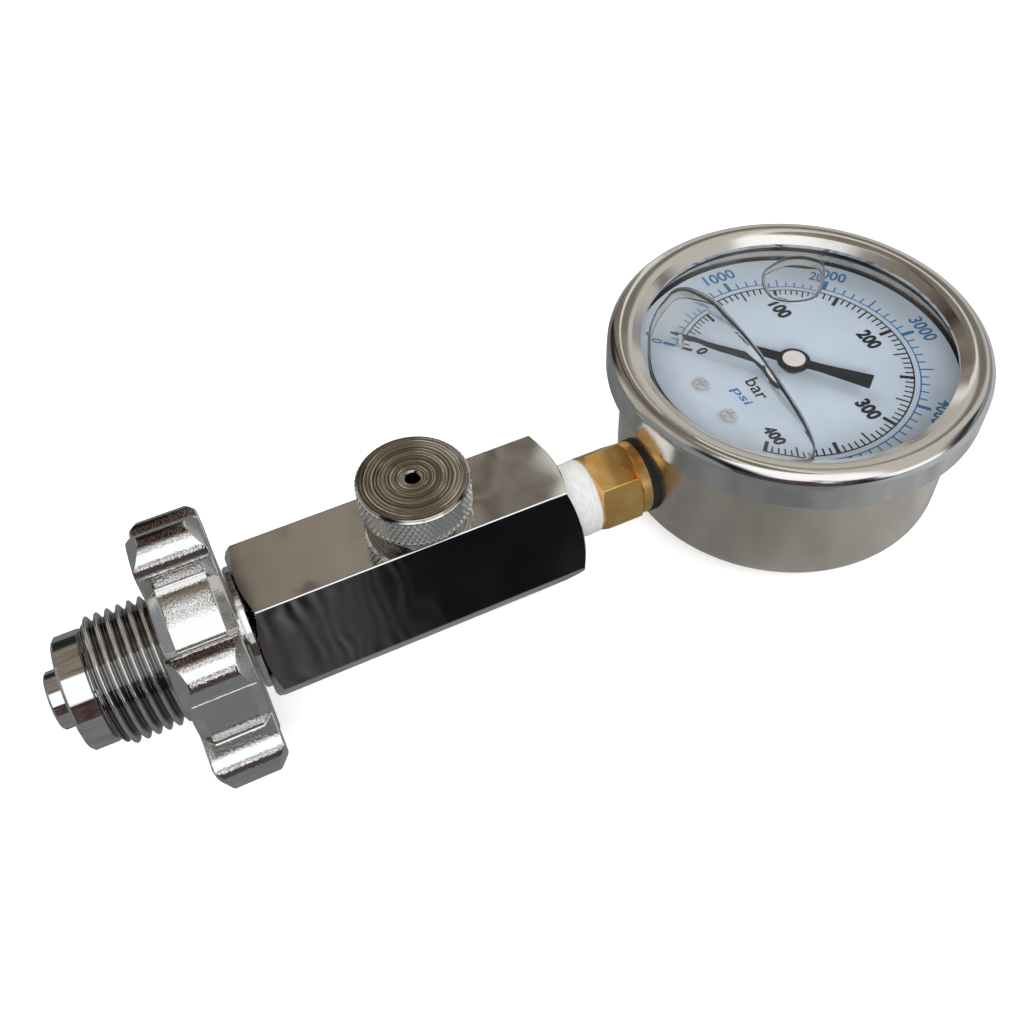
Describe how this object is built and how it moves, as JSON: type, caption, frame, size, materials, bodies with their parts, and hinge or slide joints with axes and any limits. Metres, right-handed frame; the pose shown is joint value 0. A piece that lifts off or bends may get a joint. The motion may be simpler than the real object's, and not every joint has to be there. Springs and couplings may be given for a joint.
{
  "type": "scuba tank pressure gauge",
  "caption": "Screw-on pressure checker for a diving cylinder: connector with a lobed handwheel, hexagonal body with a bleed knob, and a fluid-filled dial gauge.",
  "frame": {"origin": "on the stem's axis, where the outer thread of the connector starts", "axes": "+X along the stem from the connector to the gauge, +Z the way the dial and the bleed knob face"},
  "size_m": [0.1757, 0.069, 0.049],
  "materials": {
    "chrome": "polished",
    "rubber": "matt",
    "white_plastic": "matt",
    "brass": "satin",
    "bronze": "satin",
    "stainless": "bright",
    "glass": "clear",
    "white_paint": "satin",
    "steel": "satin",
    "black_paint": "satin",
    "nickel": "polished"
  },
  "bodies": {
    "body": {"din_stem": "chrome", "nose_o_ring": "rubber", "stem_o_ring": "rubber", "wheel_washer": "chrome", "hex_body": "chrome", "sealing_tape": "white_plastic", "gauge_socket": "brass", "socket_gasket": "rubber", "pressure_tube": "bronze", "tube_tip": "bronze", "gauge_case": "stainless", "filling_plug": "rubber", "bezel_ring": "stainless", "window": "glass", "window_gasket": "rubber", "dial": "white_paint", "dial_screws": "steel", "stop_pin": "steel", "movement_back_plate": "brass", "movement_front_plate": "brass", "movement_pillars": "brass", "movement_screws": "steel", "hairspring": "bronze"},
    "wheel": {"threaded_sleeve": "chrome", "handwheel": "chrome"},
    "bleed_lift": {"bleed_pellet": "white_plastic"},
    "bleed_screw": {"bleed_knob": "chrome", "bleed_o_ring": "rubber"},
    "pointer_assembly": {"pinion_arbor": "steel", "pointer": "black_paint", "pointer_hub": "nickel"},
    "sector_assembly": {"sector_gear": "brass", "sector_arbor": "steel"},
    "link_assembly": {"link": "brass", "link_pins": "steel"}
  },
  "joints": [
    {"name": "handwheel_spin", "type": "hinge", "parent": "body", "child": "wheel", "pos_m": [0, 0, 0], "axis": [1, 0, 0], "continuous": true},
    {"name": "bleed_rise", "type": "slide", "parent": "body", "child": "bleed_lift", "axis": [0, 0, 1], "range_m": [0, 0.00125]},
    {"name": "bleed_turn", "type": "hinge", "parent": "bleed_lift", "child": "bleed_screw", "pos_m": [0.0569, 0, 0], "axis": [0, 0, 1], "range_deg": [0, 360]},
    {"name": "pointer_turn", "type": "hinge", "parent": "body", "child": "pointer_assembly", "pos_m": [0.1321, 0, 0], "axis": [0, 0, -1], "range_deg": [0, 270]},
    {"name": "sector_turn", "type": "hinge", "parent": "body", "child": "sector_assembly", "pos_m": [0.1321, -0.011, 0], "axis": [0, 0, 1], "range_deg": [0, 27]},
    {"name": "link_turn", "type": "hinge", "parent": "sector_assembly", "child": "link_assembly", "pos_m": [0.13326, -0.01535, 0], "axis": [0, 0, -1], "range_deg": [0, 27]}
  ],
  "couplings": [
    {"joint": "bleed_turn", "follows": "bleed_rise", "rad_per_m": 5026.5},
    {"joint": "sector_turn", "follows": "pointer_turn", "ratio": 0.1},
    {"joint": "link_turn", "follows": "pointer_turn", "ratio": 0.1}
  ]
}
